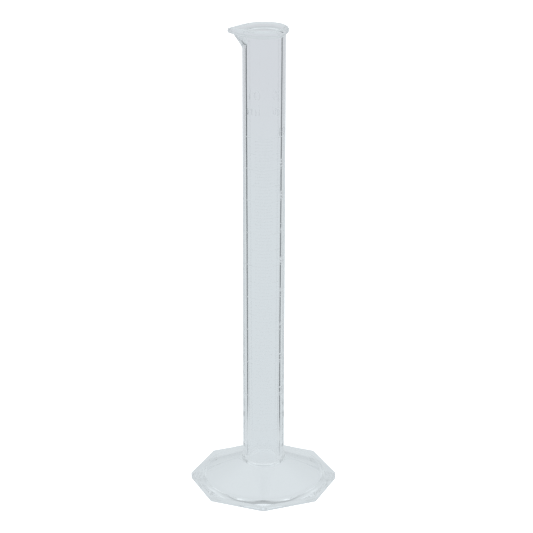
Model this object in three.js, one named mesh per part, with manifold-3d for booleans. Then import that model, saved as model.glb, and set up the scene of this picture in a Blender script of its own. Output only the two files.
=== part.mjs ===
// A 10 ml clear plastic measuring cylinder, for photographic chemicals.
//
// Millimetres, +Z up. The origin is on the table, on the axis of the barrel. The pouring spout points
// along -X and the scale is read from -Y. Two pieces: the barrel, which is a tapered tube with a closed
// floor, a rolled rim with a spout and a raised scale, and the eight-sided foot round its end, which is
// hollow underneath.

import * as THREE from 'three';
import { toCreasedNormals } from 'three/addons/utils/BufferGeometryUtils.js';
import Module from 'manifold-3d';

const wasm = await Module();
wasm.setup();

// ---- Barrel -------------------------------------------------------------------------------------

const BARREL_RADIUS = 7.05; // outside of the tube, the same all the way up
const BARREL_BASE_Z = 7.2; // underside of the closed end, flush with the hollow of the foot

const BORE_FLOOR_Z = 8.75;
const BORE_FLOOR_RADIUS = 5.0; // at the floor
const BORE_TAPER = 0.0042; // gain in radius for each millimetre of height, for the mould's draft
const BORE_FLOOR_FILLET = 0.5;

// ---- Rolled rim and pouring spout ---------------------------------------------------------------

const RIM_RING_RADIUS = 6.85; // plan radius of the middle of the bead
const RIM_BEAD_RADIUS = 1.15;
const RIM_Z = 158.55; // height of the middle of the bead
const RIM_BEAD_STEPS = 10;
const RIM_BEAD_START = Math.PI; // inside of the bead, level with its middle
const RIM_FILLET_RADIUS = 1.0; // between the bead's underside and the tube
const RIM_FILLET_STEPS = 3;

const LIP_REACH = 10.75; // from the axis to the middle of the spout's lip
const LIP_RADIUS = 1.0;
const LIP_Z = 158.3;

const WEB_FOOT_Z = 152.6; // where the flare under the spout leaves the tube
const WEB_TOP_Z = 157.1;
const WEB_REACH = 9.85; // flare's distance from the axis where it meets the lip
const WEB_CURVE = 1.15; // 1 is a straight flare, more is a hollow one
const WEB_STEPS = 5;

const CHANNEL_FOOT_Z = 152.8; // where the pouring channel leaves the bore
const CHANNEL_CURVE = 1.4;
const CHANNEL_STEPS = 5;

// ---- Scale --------------------------------------------------------------------------------------

const FULL_VOLUME_ML = 10;
const DIVISIONS_PER_ML = 10;
const FIRST_DIVISION = 10; // the lines start at 1 ml
const MM3_PER_ML = 1000;
const LINE_RELIEF = 0.15;
const LINE_WIDTH = 0.3;
const LINE_ROOT = 0.4; // how far a line's block reaches into the wall
const LINE_HALF_ANGLES = { long: 68, medium: 43, short: 22 }; // degrees either side of the middle
const SCALE_DIRECTION = THREE.MathUtils.degToRad(-90);

// ---- Foot ---------------------------------------------------------------------------------------

const FOOT_SIDES = 8;
const FOOT_CIRCUMRADIUS = 25.2; // axis to a corner, before the corner is rounded
const FOOT_CORNER_RADIUS = 1.5;
const FOOT_SKIRT_HEIGHT = 2.2;
const FOOT_EDGE_BEVEL = 0.3;
const FOOT_WALL = 1.7;
const FOOT_CONE_RADIUS = 20.8; // the round cone ends here and eight flats run out to the skirt
const FOOT_CONE_SLOPE = THREE.MathUtils.degToRad(22);
const FOOT_COLLAR_Z = 9.49; // top of the fillet round the barrel
const FOOT_COLLAR_LAND = 0.15;
const FOOT_FILLET_RADIUS = 0.7;
const FOOT_FILLET_STEPS = 3;
const FOOT_CAVITY_RADIUS = 20.3; // round hollow under the cone, at the table
const FOOT_CAVITY_WALL_HEIGHT = 0.9;
const FOOT_CAVITY_LEAN = 0.05; // draft of the hollow's short wall
const FOOT_CAVITY_CORNER = 0.9; // from the wall in to the sloping ceiling
const FOOT_CORE_RADIUS = 6.4; // middle of the foot that the barrel's end takes the place of

// ---- Plastic ------------------------------------------------------------------------------------

const PLASTIC_COLOUR = new THREE.Color(0.83, 0.86, 0.88); // faintly cool
const PLASTIC_ROUGHNESS = 0.08;
const PLASTIC_OPACITY = 0.35;

// ---- Meshing ------------------------------------------------------------------------------------

const COLUMN_STEP = 9; // degrees, round the barrel
const SPOUT_COLUMN_STEP = 4.5;
const SPOUT_COLUMN_SPAN = 54; // the finer columns reach this far each side of the spout
const CORNER_COLUMN_OFFSET = 1.6; // degrees, where a rounded corner of the foot starts
const SPOUT_DIRECTION = Math.PI;
const CREASE_ANGLE = THREE.MathUtils.degToRad(30);

/** Plan radius of a ring drawn out to a point `reach` from the axis, at `angle` from that point. */
function beakRadius(ring, reach, angle) {
  const tangent = Math.acos(Math.min(1, ring / reach));
  const away = Math.abs(angle);
  return away < tangent ? ring / Math.cos(tangent - away) : ring;
}

/** Bore radius at a height above the table. */
function boreRadius(z) {
  return BORE_FLOOR_RADIUS + BORE_TAPER * (z - BORE_FLOOR_Z);
}

/** Height above the table at which the tapered bore holds a volume in millilitres. */
function fillHeight(millilitres) {
  const cubed = BORE_FLOOR_RADIUS ** 3 + (3 * BORE_TAPER * millilitres * MM3_PER_ML) / Math.PI;
  return BORE_FLOOR_Z + (Math.cbrt(cubed) - BORE_FLOOR_RADIUS) / BORE_TAPER;
}

/** A row of a profile: its ring radius and height, and its reach and height at the spout. */
function row(ring, z, reach = ring, reachZ = z) {
  return { ring, z, reach, reachZ };
}

/** Rows along an arc in the plane of the profile, from one angle to another. */
function arcRows(centreR, centreZ, radius, from, to, steps) {
  return Array.from({ length: steps + 1 }, (_, i) => {
    const a = from + ((to - from) * i) / steps;
    return row(centreR + radius * Math.cos(a), centreZ + radius * Math.sin(a));
  });
}

/** Rows up the inside of the barrel, from the middle of its floor to the foot of the rim. */
function boreRows() {
  const filletZ = BORE_FLOOR_Z + BORE_FLOOR_FILLET;
  const filletR = boreRadius(filletZ) - BORE_FLOOR_FILLET;
  const rows = [row(0, BORE_FLOOR_Z)];
  rows.push(...arcRows(filletR, filletZ, BORE_FLOOR_FILLET, -Math.PI / 2, 0, 2));
  const mouth = RIM_RING_RADIUS - RIM_BEAD_RADIUS;
  for (let i = 0; i < CHANNEL_STEPS; i += 1) {
    const share = i / CHANNEL_STEPS;
    const z = THREE.MathUtils.lerp(CHANNEL_FOOT_Z, LIP_Z, share);
    const ring = Math.min(boreRadius(z), mouth);
    const reach = ring + (LIP_REACH - LIP_RADIUS - ring) * share ** CHANNEL_CURVE;
    rows.push(row(ring, z, reach));
  }
  return rows;
}

/** Rows over the rolled bead and round the fillet under it, from the mouth to the outside of the tube. */
function rimRows() {
  const filletR = BARREL_RADIUS + RIM_FILLET_RADIUS;
  const sideways = filletR - RIM_RING_RADIUS;
  const down = Math.sqrt((RIM_BEAD_RADIUS + RIM_FILLET_RADIUS) ** 2 - sideways ** 2);
  const end = -Math.atan2(down, sideways);
  const rows = Array.from({ length: RIM_BEAD_STEPS + 1 }, (_, i) => {
    const a = RIM_BEAD_START + ((end - RIM_BEAD_START) * i) / RIM_BEAD_STEPS;
    return row(
      RIM_RING_RADIUS + RIM_BEAD_RADIUS * Math.cos(a),
      RIM_Z + RIM_BEAD_RADIUS * Math.sin(a),
      LIP_REACH + LIP_RADIUS * Math.cos(a),
      LIP_Z + LIP_RADIUS * Math.sin(a),
    );
  });
  const { reach, reachZ } = rows.at(-1);
  const fillet = arcRows(filletR, RIM_Z - down, RIM_FILLET_RADIUS, Math.PI + end, Math.PI, RIM_FILLET_STEPS);
  fillet.slice(1).forEach(({ ring, z }, i) => {
    const share = (i + 1) / RIM_FILLET_STEPS;
    const webReach = THREE.MathUtils.lerp(reach, WEB_REACH, share);
    rows.push(row(ring, z, webReach, THREE.MathUtils.lerp(reachZ, WEB_TOP_Z, share)));
  });
  return rows;
}

/** Rows down the outside of the barrel, under the spout and on to the middle of its base. */
function outsideRows() {
  const rows = [];
  const top = rimRows().at(-1).z;
  for (let i = 1; i <= WEB_STEPS; i += 1) {
    const share = 1 - i / WEB_STEPS;
    const reach = BARREL_RADIUS + (WEB_REACH - BARREL_RADIUS) * share ** WEB_CURVE;
    const z = THREE.MathUtils.lerp(WEB_FOOT_Z, top, share);
    rows.push(row(BARREL_RADIUS, z, reach, THREE.MathUtils.lerp(WEB_FOOT_Z, WEB_TOP_Z, share)));
  }
  rows.push(row(BARREL_RADIUS, BARREL_BASE_Z));
  rows.push(row(0, BARREL_BASE_Z));
  return rows;
}

/** Column directions round the barrel, closer together near the spout. */
function barrelColumns() {
  const columns = [];
  let away = -180;
  while (away < 180) {
    columns.push(SPOUT_DIRECTION + THREE.MathUtils.degToRad(away));
    const bySpout = away >= -SPOUT_COLUMN_SPAN && away < SPOUT_COLUMN_SPAN;
    away += bySpout ? SPOUT_COLUMN_STEP : COLUMN_STEP;
  }
  return columns;
}

/** Point of a barrel row in one direction. */
function barrelPoint({ ring, z, reach, reachZ }, direction) {
  const radius = beakRadius(ring, reach, direction - SPOUT_DIRECTION);
  const drawn = reach > ring ? (radius - ring) / (reach - ring) : 0;
  return [radius * Math.cos(direction), radius * Math.sin(direction), THREE.MathUtils.lerp(z, reachZ, drawn)];
}

/**
 * Closed solid from loops of points, all of the same length. A loop of one point closes an end;
 * with no such loop the last loop joins the first.
 */
function loftSolid(loops) {
  const vertices = loops.flat(2);
  const starts = [];
  let count = 0;
  for (const loop of loops) {
    starts.push(count);
    count += loop.length;
  }
  const capped = loops[0].length === 1;
  const triangles = [];
  const bands = capped ? loops.length - 1 : loops.length;
  for (let band = 0; band < bands; band += 1) {
    const next = (band + 1) % loops.length;
    const columns = Math.max(loops[band].length, loops[next].length);
    const at = (loop, column) => starts[loop] + (loops[loop].length === 1 ? 0 : column % columns);
    for (let column = 0; column < columns; column += 1) {
      const [a, b] = [at(band, column), at(band, column + 1)];
      const [c, d] = [at(next, column + 1), at(next, column)];
      if (a !== b) triangles.push(a, c, b);
      if (c !== d) triangles.push(a, d, c);
    }
  }
  return solid(vertices, triangles);
}

/** Manifold solid from flat lists of coordinates and corner numbers. */
function solid(vertices, triangles) {
  return new wasm.Manifold(new wasm.Mesh({
    numProp: 3,
    vertProperties: new Float32Array(vertices),
    triVerts: new Uint32Array(triangles),
  }));
}

/** The barrel before its scale is added. */
function barrelBlank() {
  const columns = barrelColumns();
  const rows = [...boreRows(), ...rimRows(), ...outsideRows()];
  return loftSolid(rows.map((r) => (
    r.ring === 0 ? [[0, 0, r.z]] : columns.map((direction) => barrelPoint(r, direction))
  )));
}

/** One raised scale line: a short block bent round the barrel, rooted in its wall. */
function scaleLine(z, halfAngle) {
  const directions = [-halfAngle];
  let angle = (Math.floor(-halfAngle / COLUMN_STEP) + 1) * COLUMN_STEP;
  for (; angle < halfAngle; angle += COLUMN_STEP) directions.push(angle);
  directions.push(halfAngle);
  const inner = BARREL_RADIUS - LINE_ROOT;
  const outer = BARREL_RADIUS + LINE_RELIEF;
  const [low, high] = [z - LINE_WIDTH / 2, z + LINE_WIDTH / 2];
  const section = [[inner, low], [outer, low], [outer, high], [inner, high]];
  const vertices = [];
  for (const degrees of directions) {
    const direction = SCALE_DIRECTION + THREE.MathUtils.degToRad(degrees);
    for (const [radius, height] of section) {
      vertices.push(radius * Math.cos(direction), radius * Math.sin(direction), height);
    }
  }
  const corners = section.length;
  const last = (directions.length - 1) * corners;
  const triangles = [0, 1, 2, 0, 2, 3, last, last + 2, last + 1, last, last + 3, last + 2];
  for (let start = 0; start < last; start += corners) {
    for (let i = 0; i < corners; i += 1) {
      const [a, b] = [start + i, start + ((i + 1) % corners)];
      const [c, d] = [b + corners, a + corners];
      triangles.push(a, d, c, a, c, b);
    }
  }
  return solid(vertices, triangles);
}

/** Every line of the scale: long at whole millilitres, medium at halves and short at tenths. */
function scaleLines() {
  const lines = [];
  for (let i = FIRST_DIVISION; i <= FULL_VOLUME_ML * DIVISIONS_PER_ML; i += 1) {
    const whole = i % DIVISIONS_PER_ML === 0;
    const half = i % (DIVISIONS_PER_ML / 2) === 0;
    const kind = whole ? 'long' : half ? 'medium' : 'short';
    lines.push(scaleLine(fillHeight(i / DIVISIONS_PER_ML), LINE_HALF_ANGLES[kind]));
  }
  return lines;
}

/** Distance from the axis to a regular octagon with rounded corners, one corner on +X. */
function octagonRadius(apothem, cornerRadius, direction) {
  const sector = (2 * Math.PI) / FOOT_SIDES;
  const fromCorner = direction - Math.round(direction / sector) * sector;
  const fromMiddle = sector / 2 - Math.abs(fromCorner);
  const straightHalf = (apothem - cornerRadius) * Math.tan(sector / 2);
  if (apothem * Math.tan(fromMiddle) <= straightHalf) return apothem / Math.cos(fromMiddle);
  const centre = (apothem - cornerRadius) / Math.cos(sector / 2);
  const across = centre * Math.sin(fromCorner);
  return centre * Math.cos(fromCorner) + Math.sqrt(cornerRadius ** 2 - across ** 2);
}

/** Column directions round the foot, with extra ones where its corners are rounded. */
function footColumns() {
  const columns = [];
  const sector = 360 / FOOT_SIDES;
  for (let corner = 0; corner < 360; corner += sector) {
    columns.push(corner, corner + CORNER_COLUMN_OFFSET);
    for (let away = COLUMN_STEP; away < sector; away += COLUMN_STEP) columns.push(corner + away);
    columns.push(corner + sector - CORNER_COLUMN_OFFSET);
  }
  return columns.map((degrees) => THREE.MathUtils.degToRad(degrees));
}

/** The foot's rows, each a function from a direction to a radius, with its height. */
function footRows() {
  const circle = (radius, z) => ({ radiusAt: () => radius, z });
  const apothem = FOOT_CIRCUMRADIUS * Math.cos(Math.PI / FOOT_SIDES);
  const octagon = (inset, z) => ({
    radiusAt: (direction) => octagonRadius(apothem - inset, FOOT_CORNER_RADIUS, direction),
    z,
  });
  const filletStart = BARREL_RADIUS + FOOT_COLLAR_LAND;
  const filletEnd = 1.5 * Math.PI - FOOT_CONE_SLOPE;
  const fillet = arcRows(
    filletStart + FOOT_FILLET_RADIUS,
    FOOT_COLLAR_Z,
    FOOT_FILLET_RADIUS,
    Math.PI,
    filletEnd,
    FOOT_FILLET_STEPS,
  );
  const coneTop = fillet.at(-1);
  const coneZ = (radius) => coneTop.z - (radius - coneTop.ring) * Math.tan(FOOT_CONE_SLOPE);
  const wallDrop = FOOT_WALL / Math.cos(FOOT_CONE_SLOPE);
  const cavityWallTop = FOOT_CAVITY_RADIUS - FOOT_CAVITY_LEAN;
  const ceilingEdge = cavityWallTop - FOOT_CAVITY_CORNER;
  return [
    circle(FOOT_CORE_RADIUS, BARREL_BASE_Z),
    circle(FOOT_CORE_RADIUS, FOOT_COLLAR_Z),
    ...fillet.map(({ ring, z }) => circle(ring, z)),
    circle(FOOT_CONE_RADIUS, coneZ(FOOT_CONE_RADIUS)),
    octagon(FOOT_EDGE_BEVEL, FOOT_SKIRT_HEIGHT),
    octagon(0, FOOT_SKIRT_HEIGHT - FOOT_EDGE_BEVEL),
    octagon(0, FOOT_EDGE_BEVEL),
    octagon(FOOT_EDGE_BEVEL, 0),
    circle(FOOT_CAVITY_RADIUS, 0),
    circle(cavityWallTop, FOOT_CAVITY_WALL_HEIGHT),
    circle(ceilingEdge, coneZ(ceilingEdge) - wallDrop),
    circle(BARREL_RADIUS, BARREL_BASE_Z),
  ];
}

/** The foot, with room for the barrel's end cut through its middle. */
function footSolid(barrel) {
  const columns = footColumns();
  const loops = footRows().map(({ radiusAt, z }) => columns.map((direction) => {
    const radius = radiusAt(direction);
    return [radius * Math.cos(direction), radius * Math.sin(direction), z];
  }));
  return loftSolid(loops).subtract(barrel);
}

/** Named three.js mesh of a solid, in clear pale plastic. */
function clearPlasticMesh(name, manifold) {
  const mesh = manifold.getMesh();
  const geometry = new THREE.BufferGeometry();
  geometry.setAttribute('position', new THREE.BufferAttribute(Float32Array.from(mesh.vertProperties), 3));
  geometry.setIndex(new THREE.BufferAttribute(Uint32Array.from(mesh.triVerts), 1));
  const material = new THREE.MeshStandardMaterial({
    name: `${name}_plastic`,
    color: PLASTIC_COLOUR,
    roughness: PLASTIC_ROUGHNESS,
    metalness: 0,
    transparent: true,
    opacity: PLASTIC_OPACITY,
  });
  const result = new THREE.Mesh(toCreasedNormals(geometry, CREASE_ANGLE), material);
  result.name = name;
  return result;
}

const blank = barrelBlank();
const barrel = scaleLines().reduce((whole, line) => whole.add(line), blank);

const cylinder = new THREE.Group();
cylinder.name = 'graduated_cylinder';
cylinder.add(clearPlasticMesh('barrel', barrel), clearPlasticMesh('foot', footSolid(blank)));

export default cylinder;
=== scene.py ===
"""Looks of a clear plastic 10 ml measuring cylinder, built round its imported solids.

The barrel and the foot are one clear volume with no seam inside it. It is lofted as one closed
surface, its raised scale is joined on, and its faces are then shared out between the two pieces.
Sizes are in millimetres until a mesh is made, and in metres after that.
"""

import math

import bmesh
import bpy
import numpy as np
from mathutils import Euler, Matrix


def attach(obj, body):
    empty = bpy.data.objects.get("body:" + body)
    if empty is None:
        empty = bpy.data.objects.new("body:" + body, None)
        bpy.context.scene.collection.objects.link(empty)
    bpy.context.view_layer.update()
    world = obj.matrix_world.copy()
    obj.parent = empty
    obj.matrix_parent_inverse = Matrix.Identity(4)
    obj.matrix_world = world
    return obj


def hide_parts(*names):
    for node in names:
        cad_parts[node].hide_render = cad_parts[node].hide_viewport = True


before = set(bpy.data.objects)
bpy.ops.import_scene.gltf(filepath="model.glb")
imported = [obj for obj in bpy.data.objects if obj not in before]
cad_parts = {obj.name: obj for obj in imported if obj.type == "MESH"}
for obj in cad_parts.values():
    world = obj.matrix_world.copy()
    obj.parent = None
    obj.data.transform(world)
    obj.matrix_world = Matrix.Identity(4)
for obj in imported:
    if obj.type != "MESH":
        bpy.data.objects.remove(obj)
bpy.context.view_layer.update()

MM = 0.001

# ---- Barrel ---------------------------------------------------------------------------------
BARREL_RADIUS = 7.05
BARREL_BASE_Z = 7.2
BORE_FLOOR_Z = 8.75
BORE_FLOOR_RADIUS = 5.0
BORE_TAPER = 0.0042
BORE_FLOOR_FILLET = 0.5

# ---- Rolled rim and pouring spout -----------------------------------------------------------
RIM_RING_RADIUS = 6.85
RIM_BEAD_RADIUS = 1.15
RIM_Z = 158.55
RIM_FILLET_RADIUS = 1.0
LIP_REACH = 10.75
LIP_RADIUS = 1.0
LIP_Z = 158.3
WEB_FOOT_Z = 152.6
WEB_TOP_Z = 157.1  # at the spout
WEB_TOP_Z_AWAY = 156.84  # on the tube, away from the spout
WEB_REACH = 9.85
WEB_CURVE = 1.15
CHANNEL_FOOT_Z = 152.8
CHANNEL_CURVE = 1.4
SPOUT_DIRECTION = math.pi

# ---- Foot -----------------------------------------------------------------------------------
FOOT_SIDES = 8
FOOT_CIRCUMRADIUS = 25.2
FOOT_CORNER_RADIUS = 1.5
FOOT_SKIRT_HEIGHT = 2.2
FOOT_EDGE_RADIUS = 0.3
FOOT_EDGE_TOP_ANGLE = 66  # degrees, where the skirt's top edge meets the flats
FOOT_WALL = 1.7
FOOT_CONE_RADIUS = 20.8
FOOT_CONE_SLOPE = math.radians(22)
FOOT_COLLAR_Z = 9.49
FOOT_FILLET_RADIUS = 0.7
HOLLOW_RADIUS = 20.3  # at the table
HOLLOW_WALL_HEIGHT = 0.9
HOLLOW_WALL_LEAN = 0.05
HOLLOW_CORNER_INSET = 0.1  # from the hollow's radius to its rounded corner
HOLLOW_CORNER_WIDTH = 1.2
HOLLOW_CORNER_DROP = 0.5
HOLLOW_BLEND = 1.0  # either side of the barrel's radius, from the slope to the flat

# ---- Scale ----------------------------------------------------------------------------------
FULL_VOLUME_ML = 10
DIVISIONS_PER_ML = 10
FIRST_DIVISION = 10  # the scale starts at 1 ml
MM3_PER_ML = 1000
LINE_RELIEF = 0.15
LINE_WIDTH = 0.3
LINE_ROOT = 0.3
LINE_CROWN_START = 12  # degrees, where the rounded top of a line begins
LINE_CROWN_POWER = 0.7  # below 1 makes the top fuller
LINE_HALF_ANGLES = {"long": 68, "medium": 43, "short": 22}  # degrees
SCALE_DIRECTION = -math.pi / 2
GLYPH_RELIEF = 0.15
LABEL_RELIEF = 0.3
GLYPH_ROOT = 0.25
GLYPH_SLOPE_SHARE = 0.6  # sloped sides take this share of the relief
GLYPH_CAP_SHARE = 0.73  # height of a figure in a font of size 1
GLYPH_HALF_SPAN = 4
GLYPH_CUT_STEP = 0.35  # between the upright cuts that let a figure bend
NUMERAL_HEIGHT = 2.8
NUMERAL_ANGLE = 54  # degrees from the scale's middle
NUMERAL_GAP = 0.55
LABEL_HEIGHT = 3.7
LABEL_ROWS = (("10", 136.9), ("ml", 132.0))
LABEL_PLACES = ((-30, 0), (132, -2.7))  # degrees from the scale's middle, and how much higher

# ---- Meshing --------------------------------------------------------------------------------
COLUMNS = 288
CORNER_OFFSETS = (0.3, 0.6, 0.9, 1.2, 1.45)
BORE_FILLET_STEPS = 6
CHANNEL_STEPS = 16
BEAD_STEPS = 32
RIM_FILLET_STEPS = 8
WEB_STEPS = 16
FOOT_FILLET_STEPS = 10
FOOT_EDGE_STEPS = 6
HOLLOW_CORNER_STEPS = 4
HOLLOW_BLEND_STEPS = 5
LINE_STEP_DEGREES = 2.5
LINE_CROWN_POINTS = 6
GLYPH_CURVE_STEPS = 3
GLYPH_SLOPE_STEPS = 1
MERGE_DISTANCE = 0.001
SHARP_ANGLE = math.radians(38)
BASE_MARGIN = 0.05  # a face this far below the barrel's base still belongs to it

# ---- Clear plastic --------------------------------------------------------------------------
PLASTIC_TINT = (0.99, 0.995, 1.0)
PLASTIC_IOR = 1.57
HAZE_SCALE = 160
HAZE_DETAIL = 5
HAZE_NOISE_RANGE = (0.35, 0.75)
HAZE_ROUGHNESS = (0.01, 0.045)
RIPPLE_SCALE = 90
RIPPLE_DETAIL = 1
RIPPLE_STRENGTH = 0.12
RIPPLE_DEPTH = 0.0004  # metres

# ---- Stage, in metres and degrees -----------------------------------------------------------
CAMERA_LENS = 124.98  # millimetres
CAMERA_SENSOR = 36  # millimetres
CAMERA_PLACE = (0.000904, -0.57917, 0.28957)
CAMERA_DOWN = 0.34973  # radians below level
CAMERA_ROLL = 0.0021  # radians
SHEET_HALF_SIZE = 6000  # millimetres
WHITE_FLOOR_Z = -0.10  # millimetres
PAPER_Z = -0.05  # millimetres
WHITE_FLOOR_COLOUR = (0.9, 0.9, 0.9)
# The paper is not lit: it glows with painted light, grey-blue near the axis and a little darker
# farther out, and the plastic shows and mirrors that glow.
PAPER_GLOW_COLOUR = (0.68, 0.728, 0.752)
FAR_PAPER_GLOW_COLOUR = (0.665, 0.69, 0.722)
FAR_PAPER_RANGE = (0.2, 0.6)  # from the axis
# Painted shade: dark wedges painted into the paper's glow, which the plastic refracts into dark
# lines near its edges.
PAINTED_SHADE_COLOUR = (0.05, 0.06, 0.068)
DARK_BEARINGS = (44, 50, 57, 63)  # begins, is full, begins to end and has ended
DARK_NEAR_LEFT = (0.024, 0.06, 0, 0.9)  # from, to, share at the first and at the second
DARK_FAR_LEFT = (0.15, 0.45, 0, 0.1)
DARK_RIGHT = (0.024, 0.042, 0, 0.88)
WORLD_COLOUR = (0.905, 0.968, 1)
WORLD_BY_DEPTH = (-0.6, -0.15, 0.45, 0.74)  # from and to along Y, and the light at each
WORLD_OVERHEAD = (0.5, 0.9, 1, 1.4)  # from and to along Z, and the gain at each
WORLD_LOW = (0.1, 0.45, 0.86, 1)  # the same
LIGHT_BOUNCES = 200  # light goes round inside the rim and the foot's edges before it leaves


def beak_radius(ring, reach, angle):
    """Plan radius of a ring drawn out to a point `reach` from the axis, at `angle` from it."""
    if reach <= ring:
        return np.full_like(angle, ring)
    tangent = math.acos(ring / reach)
    inside = np.abs(angle) < tangent
    return np.where(inside, ring / np.cos(np.where(inside, tangent - np.abs(angle), 0)), ring)


def octagon_radius(apothem, corner_radius, direction):
    """Distance from the axis to a regular octagon with rounded corners, one corner on +X."""
    sector = 2 * math.pi / FOOT_SIDES
    from_corner = direction - np.round(direction / sector) * sector
    from_middle = sector / 2 - np.abs(from_corner)
    straight_half = (apothem - corner_radius) * math.tan(sector / 2)
    centre = (apothem - corner_radius) / math.cos(sector / 2)
    across = centre * np.sin(from_corner)
    reach = np.sqrt(np.maximum(corner_radius**2 - across**2, 0))
    straight = apothem * np.tan(from_middle) <= straight_half
    return np.where(straight, apothem / np.cos(from_middle), centre * np.cos(from_corner) + reach)


def bore_radius(z):
    """Bore radius at a height above the table."""
    return BORE_FLOOR_RADIUS + BORE_TAPER * (z - BORE_FLOOR_Z)


def fill_height(millilitres):
    """Height above the table at which the tapered bore holds a volume."""
    cubed = BORE_FLOOR_RADIUS**3 + 3 * BORE_TAPER * millilitres * MM3_PER_ML / math.pi
    return BORE_FLOOR_Z + (cubed ** (1 / 3) - BORE_FLOOR_RADIUS) / BORE_TAPER


def column_directions():
    """Directions of the columns, closer together where the foot's corners are rounded."""
    degrees = set(np.round(np.arange(COLUMNS) * 360 / COLUMNS, 4))
    for corner in range(0, 360, 360 // FOOT_SIDES):
        for offset in CORNER_OFFSETS:
            degrees.update({round((corner + offset) % 360, 4), round((corner - offset) % 360, 4)})
    return np.radians(sorted(degrees))


DIRECTIONS = column_directions()
FROM_SPOUT = np.abs((DIRECTIONS - SPOUT_DIRECTION + math.pi) % (2 * math.pi) - math.pi)


def loop(radius, z):
    """Points round the axis, at a radius and a height for each column."""
    z = np.broadcast_to(z, radius.shape)
    return np.stack([radius * np.cos(DIRECTIONS), radius * np.sin(DIRECTIONS), z], axis=1)


def circle(radius, z):
    """A round loop."""
    return loop(np.full_like(DIRECTIONS, radius), z)


def octagon(inset, z):
    """A loop round the foot, inset from its skirt."""
    apothem = FOOT_CIRCUMRADIUS * math.cos(math.pi / FOOT_SIDES)
    return loop(octagon_radius(apothem - inset, FOOT_CORNER_RADIUS, DIRECTIONS), z)


def drawn(ring, z, reach, reach_z):
    """A loop that is drawn out to the spout, where it reaches `reach` at height `reach_z`."""
    radius = beak_radius(ring, reach, FROM_SPOUT)
    share = (radius - ring) / (reach - ring) if reach > ring else np.zeros_like(radius)
    return loop(radius, z + (reach_z - z) * share)


def arc(centre_r, centre_z, radius, start, end, steps):
    """(r, z) points along an arc in the plane of the profile, angles in degrees."""
    angles = np.radians(np.linspace(start, end, steps + 1))
    return [(centre_r + radius * math.cos(a), centre_z + radius * math.sin(a)) for a in angles]


def bore_loops():
    """Loops up the inside of the barrel."""
    fillet_z = BORE_FLOOR_Z + BORE_FLOOR_FILLET
    fillet_r = bore_radius(fillet_z) - BORE_FLOOR_FILLET
    fillet = arc(fillet_r, fillet_z, BORE_FLOOR_FILLET, -90, 0, BORE_FILLET_STEPS)
    loops = [circle(r, z) for r, z in fillet]
    mouth = RIM_RING_RADIUS - RIM_BEAD_RADIUS
    for share in np.linspace(0, 1, CHANNEL_STEPS + 1)[:-1]:
        z = CHANNEL_FOOT_Z + (LIP_Z - CHANNEL_FOOT_Z) * share
        ring = min(bore_radius(z), mouth)
        reach = ring + (LIP_REACH - LIP_RADIUS - ring) * share**CHANNEL_CURVE
        loops.append(drawn(ring, z, reach, z))
    return loops


def rim_loops():
    """Loops over the rolled bead and round the fillet under it."""
    loops = []
    fillet_r = BARREL_RADIUS + RIM_FILLET_RADIUS
    sideways = fillet_r - RIM_RING_RADIUS
    down = math.sqrt((RIM_BEAD_RADIUS + RIM_FILLET_RADIUS) ** 2 - sideways**2)
    end = -math.degrees(math.atan2(down, sideways))
    for degrees in np.linspace(180, end, BEAD_STEPS + 1):
        c, s = math.cos(math.radians(degrees)), math.sin(math.radians(degrees))
        ring, z = RIM_RING_RADIUS + RIM_BEAD_RADIUS * c, RIM_Z + RIM_BEAD_RADIUS * s
        reach, reach_z = LIP_REACH + LIP_RADIUS * c, LIP_Z + LIP_RADIUS * s
        loops.append(drawn(ring, z, reach, reach_z))
    fillet = arc(fillet_r, RIM_Z - down, RIM_FILLET_RADIUS, 180 + end, 180, RIM_FILLET_STEPS)
    for i, (ring, z) in enumerate(fillet[1:], start=1):
        share = i / RIM_FILLET_STEPS
        to_web = reach + (WEB_REACH - reach) * share
        to_web_z = reach_z + (WEB_TOP_Z - reach_z) * share
        loops.append(drawn(ring, z, to_web, to_web_z))
    return loops


def web_loops():
    """Loops down the flare under the spout."""
    loops = []
    for share in np.linspace(1, 0, WEB_STEPS + 1)[1:]:
        reach = BARREL_RADIUS + (WEB_REACH - BARREL_RADIUS) * share**WEB_CURVE
        z = WEB_FOOT_Z + (WEB_TOP_Z_AWAY - WEB_FOOT_Z) * share
        reach_z = WEB_FOOT_Z + (WEB_TOP_Z - WEB_FOOT_Z) * share
        loops.append(drawn(BARREL_RADIUS, z, reach, reach_z))
    return loops


def foot_fillet():
    """(r, z) points of the fillet between the barrel and the cone."""
    centre_r = BARREL_RADIUS + FOOT_FILLET_RADIUS
    end = 270 - math.degrees(FOOT_CONE_SLOPE)
    return arc(centre_r, FOOT_COLLAR_Z, FOOT_FILLET_RADIUS, 180, end, FOOT_FILLET_STEPS)


def cone_z(radius):
    """Height of the cone at a radius."""
    top_r, top_z = foot_fillet()[-1]
    return top_z - (radius - top_r) * math.tan(FOOT_CONE_SLOPE)


def skirt_loops():
    """Loops down the outside of the skirt, round its top and bottom edges."""
    edge = FOOT_EDGE_RADIUS
    upper = arc(-edge, FOOT_SKIRT_HEIGHT - edge, edge, FOOT_EDGE_TOP_ANGLE, 0, FOOT_EDGE_STEPS)
    lower = arc(-edge, edge, edge, 0, -90, FOOT_EDGE_STEPS)
    return [octagon(-r, z) for r, z in upper + lower]


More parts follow.
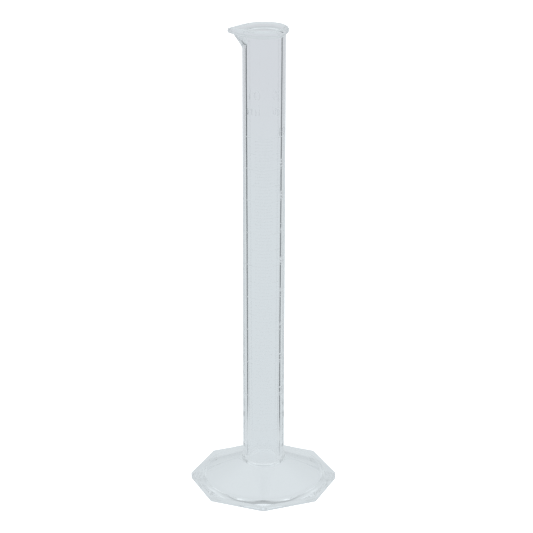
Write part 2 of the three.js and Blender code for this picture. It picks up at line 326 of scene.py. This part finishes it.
def hollow_loops():
    """Loops up the short wall of the hollow and in along its ceiling to the barrel's base."""
    drop = FOOT_WALL / math.cos(FOOT_CONE_SLOPE)
    loops = [
        circle(HOLLOW_RADIUS, 0),
        circle(HOLLOW_RADIUS - HOLLOW_WALL_LEAN, HOLLOW_WALL_HEIGHT),
    ]
    for share in np.linspace(0, 1, HOLLOW_CORNER_STEPS + 1):
        radius = HOLLOW_RADIUS - HOLLOW_CORNER_INSET - HOLLOW_CORNER_WIDTH * share
        lower = HOLLOW_CORNER_DROP * (1 - share) ** 2
        loops.append(circle(radius, cone_z(radius) - drop - lower))
    flat_z = cone_z(BARREL_RADIUS) - drop
    for share in np.linspace(1, 0, HOLLOW_BLEND_STEPS + 1):
        radius = BARREL_RADIUS + HOLLOW_BLEND * (share - 0.5) * 2
        loops.append(circle(radius, min(cone_z(radius) - drop, flat_z)))
    return loops


def foot_loops():
    """Loops from the top of the fillet over the foot and back under it to the barrel's base."""
    loops = [circle(r, z) for r, z in foot_fillet()]
    loops.append(circle(FOOT_CONE_RADIUS, cone_z(FOOT_CONE_RADIUS)))
    return loops + skirt_loops() + hollow_loops()


def capped_loft(loops, bottom_z, top_z):
    """Closed surface through loops of one length, closed on the axis at both ends."""
    count = len(loops[0])
    vertices = [(0, 0, bottom_z), (0, 0, top_z), *np.concatenate(loops).tolist()]
    faces = []
    last = 2 + (len(loops) - 1) * count
    for column in range(count):
        after = (column + 1) % count
        faces.append((0, 2 + column, 2 + after))
        faces.append((1, last + after, last + column))
        for row in range(len(loops) - 1):
            a, b = 2 + row * count, 2 + (row + 1) * count
            faces.append((a + column, b + column, b + after, a + after))
    return vertices, faces


def mesh_object(name, vertices, faces):
    """Object in the scene from points in millimetres."""
    mesh = bpy.data.meshes.new(name)
    mesh.from_pydata((np.asarray(vertices) * MM).tolist(), [], faces)
    mesh.validate()
    result = bpy.data.objects.new(name, mesh)
    bpy.context.scene.collection.objects.link(result)
    return result


def body_object():
    """The whole clear body before its scale is joined on."""
    loops = bore_loops() + rim_loops() + web_loops() + foot_loops()
    vertices, faces = capped_loft(loops, BORE_FLOOR_Z, BARREL_BASE_Z)
    return mesh_object("body", vertices, faces)


def line_section():
    """(height from the middle, radius) corners of a raised line with a softly rounded top."""
    half = LINE_WIDTH / 2
    root = BARREL_RADIUS - LINE_ROOT
    angles = np.radians(np.linspace(LINE_CROWN_START, 180 - LINE_CROWN_START, LINE_CROWN_POINTS))
    crown = []
    for a in angles:
        rise = LINE_RELIEF * math.sin(a) ** LINE_CROWN_POWER
        crown.append((half * math.cos(a), BARREL_RADIUS + rise))
    return [(half, root), *crown, (-half, root)]


def scale_line(z, half_angle):
    """Vertices and faces of one raised line."""
    section = line_section()
    steps = int(2 * half_angle / LINE_STEP_DEGREES)
    angles = np.radians(np.linspace(-half_angle, half_angle, steps + 1)) + SCALE_DIRECTION
    vertices = [(r * math.cos(a), r * math.sin(a), z + h) for a in angles for h, r in section]
    n = len(section)
    faces = [tuple(reversed(range(n))), tuple(range(steps * n, (steps + 1) * n))]
    for start in range(0, steps * n, n):
        for i in range(n):
            j = (i + 1) % n
            faces.append((start + i, start + j, start + n + j, start + n + i))
    return vertices, faces


def line_kind(division):
    """Long for a whole millilitre, medium for a half and short for a tenth."""
    if division % DIVISIONS_PER_ML == 0:
        return "long"
    if division % (DIVISIONS_PER_ML // 2) == 0:
        return "medium"
    return "short"


def scale_object():
    """All the lines of the scale in one object."""
    vertices, faces = [], []
    for i in range(FIRST_DIVISION, FULL_VOLUME_ML * DIVISIONS_PER_ML + 1):
        z = fill_height(i / DIVISIONS_PER_ML)
        points, sides = scale_line(z, LINE_HALF_ANGLES[line_kind(i)])
        faces += [tuple(len(vertices) + k for k in side) for side in sides]
        vertices += points
    return mesh_object("scale_lines", vertices, faces)


def text_mesh(text, height, relief):
    """Flat mesh of raised characters with sloped sides, standing on its baseline."""
    curve = bpy.data.curves.new(text, "FONT")
    curve.body = text
    curve.align_x = "CENTER"
    curve.size = height / GLYPH_CAP_SHARE
    slope = relief * GLYPH_SLOPE_SHARE
    curve.extrude = (relief + GLYPH_ROOT) / 2 - slope
    curve.bevel_depth = slope
    curve.bevel_resolution = GLYPH_SLOPE_STEPS
    curve.offset = -slope
    curve.resolution_u = GLYPH_CURVE_STEPS
    source = bpy.data.objects.new(text, curve)
    bpy.context.scene.collection.objects.link(source)
    bpy.context.view_layer.update()
    depsgraph = bpy.context.evaluated_depsgraph_get()
    mesh = bpy.data.meshes.new_from_object(source.evaluated_get(depsgraph))
    bpy.data.objects.remove(source)
    return mesh


def glyphs_object(text, height, relief, angle, base_z):
    """Raised characters bent round the barrel, centred on an angle from the scale's middle."""
    mesh = text_mesh(text, height, relief)
    work = bmesh.new()
    work.from_mesh(mesh)
    bmesh.ops.remove_doubles(work, verts=work.verts, dist=MERGE_DISTANCE)
    for x in np.arange(-GLYPH_HALF_SPAN, GLYPH_HALF_SPAN + 0.1, GLYPH_CUT_STEP):
        everything = work.verts[:] + work.edges[:] + work.faces[:]
        bmesh.ops.bisect_plane(work, geom=everything, plane_co=(x, 0, 0), plane_no=(1, 0, 0))
    middle = BARREL_RADIUS + (relief - GLYPH_ROOT) / 2
    for vertex in work.verts:
        x, y, z = vertex.co
        direction = SCALE_DIRECTION + math.radians(angle) + x / BARREL_RADIUS
        radius = middle + z
        vertex.co = (radius * math.cos(direction), radius * math.sin(direction), base_z + y)
        vertex.co *= MM
    bmesh.ops.recalc_face_normals(work, faces=work.faces)
    work.to_mesh(mesh)
    work.free()
    result = bpy.data.objects.new("glyphs_" + text, mesh)
    bpy.context.scene.collection.objects.link(result)
    return result


def glyph_objects():
    """The numerals of the scale and the two volume labels."""
    made = []
    for millilitres in range(1, FULL_VOLUME_ML + 1):
        text, base = str(millilitres), fill_height(millilitres) + NUMERAL_GAP
        made.append(glyphs_object(text, NUMERAL_HEIGHT, GLYPH_RELIEF, NUMERAL_ANGLE, base))
    for text, base in LABEL_ROWS:
        for angle, higher in LABEL_PLACES:
            made.append(glyphs_object(text, LABEL_HEIGHT, LABEL_RELIEF, angle, base + higher))
    return made


def join_on(body, other):
    """Unites another closed object with the body and removes it."""
    join = body.modifiers.new("join", "BOOLEAN")
    join.operation = "UNION"
    join.solver = "MANIFOLD"
    join.object = other
    bpy.context.view_layer.update()
    depsgraph = bpy.context.evaluated_depsgraph_get()
    joined = bpy.data.meshes.new_from_object(body.evaluated_get(depsgraph))
    body.modifiers.clear()
    body.data = joined
    bpy.data.objects.remove(other)


def finish_surface(mesh):
    """Smooth shading with hard edges only where the plastic has them, and no material yet."""
    mesh.materials.clear()
    mesh.shade_smooth()
    mesh.set_sharp_from_angle(angle=SHARP_ANGLE)


def split_off(body, name, keep):
    """Object with a copy of the body's faces whose middles satisfy `keep`."""
    result = bpy.data.objects.new(name, body.data.copy())
    bpy.context.scene.collection.objects.link(result)
    work = bmesh.new()
    work.from_mesh(result.data)
    gone = [face for face in work.faces if not keep(face.calc_center_median() / MM)]
    bmesh.ops.delete(work, geom=gone, context="FACES")
    work.to_mesh(result.data)
    work.free()
    result.data.name = name
    return result


def is_barrel(point):
    """True for a face of the barrel, by its middle."""
    radius = math.hypot(point.x, point.y)
    in_foot = radius < BARREL_RADIUS and point.z > BARREL_BASE_Z - BASE_MARGIN
    return point.z > FOOT_COLLAR_Z or in_foot


def set_inputs(node, values):
    """Sets a node's own sockets by name."""
    for name, value in values.items():
        node.inputs[name].default_value = value


def noise_node(nodes, links, place, scale, detail):
    """A noise over the object's own coordinates."""
    node = nodes.new("ShaderNodeTexNoise")
    set_inputs(node, {"Scale": scale, "Detail": detail})
    links.new(place.outputs["Object"], node.inputs["Vector"])
    return node.outputs["Fac"]


def node_material(name):
    """A new material, with its nodes, its links and its shader."""
    material = bpy.data.materials.new(name)
    material.use_nodes = True
    nodes, links = material.node_tree.nodes, material.node_tree.links
    return material, nodes, links, nodes["Principled BSDF"]


def clear_plastic(name):
    """Glossy clear moulded plastic with faint flow ripples and fine handling marks."""
    material, nodes, links, shader = node_material(name)
    set_inputs(shader, {
        "Base Color": (*PLASTIC_TINT, 1),
        "Transmission Weight": 1,
        "IOR": PLASTIC_IOR,
    })
    place = nodes.new("ShaderNodeTexCoord")
    haze = nodes.new("ShaderNodeMapRange")
    set_inputs(haze, {
        "From Min": HAZE_NOISE_RANGE[0],
        "From Max": HAZE_NOISE_RANGE[1],
        "To Min": HAZE_ROUGHNESS[0],
        "To Max": HAZE_ROUGHNESS[1],
    })
    links.new(noise_node(nodes, links, place, HAZE_SCALE, HAZE_DETAIL), haze.inputs["Value"])
    links.new(haze.outputs["Result"], shader.inputs["Roughness"])
    bump = nodes.new("ShaderNodeBump")
    set_inputs(bump, {"Strength": RIPPLE_STRENGTH, "Distance": RIPPLE_DEPTH})
    links.new(noise_node(nodes, links, place, RIPPLE_SCALE, RIPPLE_DETAIL), bump.inputs["Height"])
    links.new(bump.outputs["Normal"], shader.inputs["Normal"])
    return material


def make_camera():
    """Camera at the photograph's distance, height and angle."""
    camera = bpy.data.objects.new("camera", bpy.data.cameras.new("camera"))
    camera.data.lens = CAMERA_LENS
    camera.data.sensor_width = CAMERA_SENSOR
    camera.location = CAMERA_PLACE
    tilt = Euler((math.radians(90) - CAMERA_DOWN, 0, 0)).to_matrix()
    roll = Euler((0, 0, CAMERA_ROLL)).to_matrix()
    camera.rotation_euler = (tilt @ roll).to_euler()
    bpy.context.scene.collection.objects.link(camera)
    bpy.context.scene.camera = camera


def floor_sheet(name, z, material):
    """A large flat stage sheet."""
    size = SHEET_HALF_SIZE
    corners = [(-size, -size, z), (size, -size, z), (size, size, z), (-size, size, z)]
    sheet = mesh_object(name, corners, [(0, 1, 2, 3)])
    sheet.data.materials.append(material)
    return sheet


def math_node(nodes, links, operation, *values):
    """A math node fed by sockets or numbers."""
    node = nodes.new("ShaderNodeMath")
    node.operation = operation
    for socket, value in zip(node.inputs, values):
        if isinstance(value, (int, float)):
            socket.default_value = value
        else:
            links.new(value, socket)
    return node.outputs[0]


def ramp_node(nodes, links, value, start, end, low, high):
    """A smooth step from `low` at `start` to `high` at `end`."""
    node = nodes.new("ShaderNodeMapRange")
    node.interpolation_type = "SMOOTHSTEP"
    links.new(value, node.inputs["Value"])
    set_inputs(node, {"From Min": start, "From Max": end, "To Min": low, "To Max": high})
    return node.outputs["Result"]


def mix_node(nodes, links, factor):
    """A colour mix driven by a socket."""
    node = nodes.new("ShaderNodeMix")
    node.data_type = "RGBA"
    links.new(factor, node.inputs["Factor"])
    return node


def dark_share(nodes, links, x, y, distance):
    """How much painted shade darkens the paper's glow: two wedges, to the left and to the right
    of straight behind.
    """
    begins, full, ending, ended = (math.radians(bearing) for bearing in DARK_BEARINGS)
    side = math_node(nodes, links, "ABSOLUTE", x)
    bearing = math_node(nodes, links, "ARCTAN2", side, y)
    inner = ramp_node(nodes, links, bearing, begins, full, 0, 1)
    outer = ramp_node(nodes, links, bearing, ending, ended, 1, 0)
    wedge = math_node(nodes, links, "MULTIPLY", inner, outer)
    near_left = ramp_node(nodes, links, distance, *DARK_NEAR_LEFT)
    far_left = ramp_node(nodes, links, distance, *DARK_FAR_LEFT)
    left = math_node(nodes, links, "ADD", near_left, far_left)
    right = ramp_node(nodes, links, distance, *DARK_RIGHT)
    on_right = math_node(nodes, links, "GREATER_THAN", x, 0.0)
    on_left = math_node(nodes, links, "SUBTRACT", 1.0, on_right)
    left_part = math_node(nodes, links, "MULTIPLY", left, on_left)
    right_part = math_node(nodes, links, "MULTIPLY", right, on_right)
    strength = math_node(nodes, links, "ADD", left_part, right_part)
    return math_node(nodes, links, "MULTIPLY", wedge, strength)


def paper_material():
    """Grey-blue glow of painted light on the paper, with painted shade in two wedges to the left
    and right of the object.
    """
    material, nodes, links, shader = node_material("glowing_paper")
    set_inputs(shader, {
        "Base Color": (0, 0, 0, 1),
        "Roughness": 1,
        "Specular IOR Level": 0,
        "Emission Strength": 1,
    })
    place = nodes.new("ShaderNodeTexCoord")
    split = nodes.new("ShaderNodeSeparateXYZ")
    links.new(place.outputs["Object"], split.inputs["Vector"])
    x, y = split.outputs["X"], split.outputs["Y"]
    x_squared = math_node(nodes, links, "MULTIPLY", x, x)
    y_squared = math_node(nodes, links, "MULTIPLY", y, y)
    distance = math_node(
        nodes, links, "SQRT", math_node(nodes, links, "ADD", x_squared, y_squared)
    )
    # Painted light: the paper's grey-blue glow, a little darker farther from the axis.
    fade = mix_node(nodes, links, ramp_node(nodes, links, distance, *FAR_PAPER_RANGE, 0, 1))
    set_inputs(fade, {"A": (*PAPER_GLOW_COLOUR, 1), "B": (*FAR_PAPER_GLOW_COLOUR, 1)})
    # Painted shade in two wedges, darkening the paper's glow.
    mix = mix_node(nodes, links, dark_share(nodes, links, x, y, distance))
    set_inputs(mix, {"B": (*PAINTED_SHADE_COLOUR, 1)})
    links.new(fade.outputs["Result"], mix.inputs["A"])
    links.new(mix.outputs["Result"], shader.inputs["Emission Color"])
    return material


def white_material():
    """Evenly bright white."""
    material, _, _, shader = node_material("white_floor")
    set_inputs(shader, {
        "Base Color": (*WHITE_FLOOR_COLOUR, 1),
        "Emission Color": (1, 1, 1, 1),
        "Emission Strength": 1,
    })
    return material


def make_floor():
    """White floor for the eye, and the paper, glowing grey with painted light and painted shade,
    that the clear plastic shows and mirrors.
    """
    white = floor_sheet("floor", WHITE_FLOOR_Z, white_material())
    white.visible_diffuse = False
    white.visible_glossy = False
    white.visible_transmission = False
    white.visible_shadow = False
    # This sheet glows with painted light and painted shade instead of being lit.
    glowing_paper = floor_sheet("glowing_paper", PAPER_Z, paper_material())
    glowing_paper.visible_camera = False


def make_light():
    """Even light from all round, dimmer from the viewer's side and low down, more from above."""
    world = bpy.data.worlds.new("studio")
    bpy.context.scene.world = world
    world.use_nodes = True
    nodes, links = world.node_tree.nodes, world.node_tree.links
    place = nodes.new("ShaderNodeTexCoord")
    split = nodes.new("ShaderNodeSeparateXYZ")
    links.new(place.outputs["Generated"], split.inputs["Vector"])
    level = ramp_node(nodes, links, split.outputs["Y"], *WORLD_BY_DEPTH)
    overhead = ramp_node(nodes, links, split.outputs["Z"], *WORLD_OVERHEAD)
    low = ramp_node(nodes, links, split.outputs["Z"], *WORLD_LOW)
    gain = math_node(nodes, links, "MULTIPLY", overhead, low)
    background = nodes["Background"]
    set_inputs(background, {"Color": (*WORLD_COLOUR, 1)})
    links.new(math_node(nodes, links, "MULTIPLY", level, gain), background.inputs["Strength"])


def allow_bounces():
    """Lets light go on inside the plastic until it finds its way out."""
    cycles = bpy.context.scene.cycles
    cycles.max_bounces = LIGHT_BOUNCES
    cycles.transmission_bounces = LIGHT_BOUNCES
    cycles.glossy_bounces = LIGHT_BOUNCES


make_camera()
body = body_object()
join_on(body, scale_object())
for glyphs in glyph_objects():
    join_on(body, glyphs)
finish_surface(body.data)

barrel = split_off(body, "barrel_shell", is_barrel)
foot = split_off(body, "foot_shell", lambda point: not is_barrel(point))
bpy.data.objects.remove(body)
barrel.data.materials.append(clear_plastic("clear_barrel_plastic"))
foot.data.materials.append(clear_plastic("clear_foot_plastic"))
for piece, node in ((barrel, "barrel"), (foot, "foot")):
    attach(piece, "root")
    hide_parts(node)

make_floor()
make_light()
allow_bounces()
bpy.context.scene.view_settings.view_transform = "Standard"
